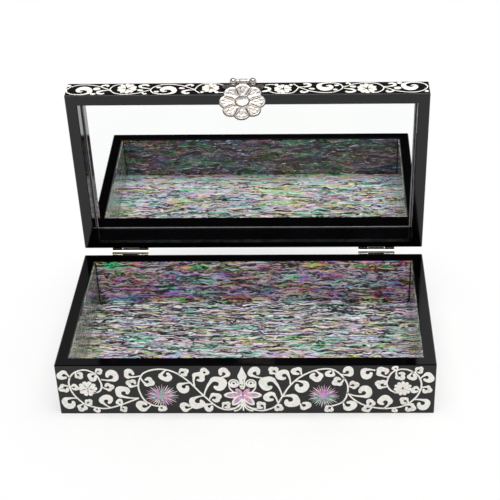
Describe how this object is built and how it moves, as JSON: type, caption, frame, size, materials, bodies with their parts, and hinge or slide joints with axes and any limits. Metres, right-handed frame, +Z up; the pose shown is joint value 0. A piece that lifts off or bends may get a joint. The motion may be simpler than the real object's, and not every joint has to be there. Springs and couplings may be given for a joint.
{
  "type": "vanity jewelry box",
  "caption": "Rectangular lacquered jewelry box with a mirror in its hinged lid, a shell-lined tray and a hanging flower clasp.",
  "frame": {"origin": "middle of the box's underside, on the surface it stands on", "axes": "+X to the right, -Y to the front of the box, +Z up; the lid is open at rest"},
  "size_m": [0.241, 0.1444, 0.1752],
  "materials": {
    "lacquer": "black gloss lacquer on wood",
    "shell": "polished crushed abalone shell",
    "mirror": "silvered plate glass",
    "hinge_metal": "polished",
    "steel": "bright steel",
    "clasp_metal": "nickel plated cast metal"
  },
  "bodies": {
    "base": {"base_front_wall": "lacquer", "base_back_wall": "lacquer", "base_left_wall": "lacquer", "base_right_wall": "lacquer", "base_bottom_panel": "lacquer", "floor_lining": "shell", "front_lining": "shell", "back_lining": "shell", "left_lining": "shell", "right_lining": "shell", "left_hinge_base_leaf": "hinge_metal", "right_hinge_base_leaf": "hinge_metal", "left_hinge_pin": "steel", "right_hinge_pin": "steel", "base_hinge_screws": "steel"},
    "lid": {"lid_front_wall": "lacquer", "lid_back_wall": "lacquer", "lid_left_wall": "lacquer", "lid_right_wall": "lacquer", "lid_top_panel": "lacquer", "mirror_glass": "mirror", "left_hinge_lid_leaf": "hinge_metal", "right_hinge_lid_leaf": "hinge_metal", "lid_hinge_screws": "steel", "clasp_back_plate": "clasp_metal", "clasp_nails": "clasp_metal"},
    "clasp_pin": {"clasp_pin": "clasp_metal"},
    "clasp_flower": {"clasp_flower": "clasp_metal"}
  },
  "joints": [
    {"name": "lid_hinge", "type": "hinge", "parent": "base", "child": "lid", "pos_m": [0, 0.0655, 0.03985], "axis": [1, 0, 0], "range_deg": [0, 87.5]},
    {"name": "clasp_pin_turn", "type": "hinge", "parent": "lid", "child": "clasp_pin", "pos_m": [-0.0027, 0.06916, 0.17274], "axis": [-1, 0, 0], "range_deg": [0, 20]},
    {"name": "flower_swing", "type": "hinge", "parent": "clasp_pin", "child": "clasp_flower", "pos_m": [-0.0027, 0.06916, 0.17274], "axis": [-1, 0, 0], "range_deg": [0, 150]}
  ],
  "couplings": [
    {"joint": "clasp_pin_turn", "follows": "lid_hinge", "ratio": 0.22857}
  ]
}
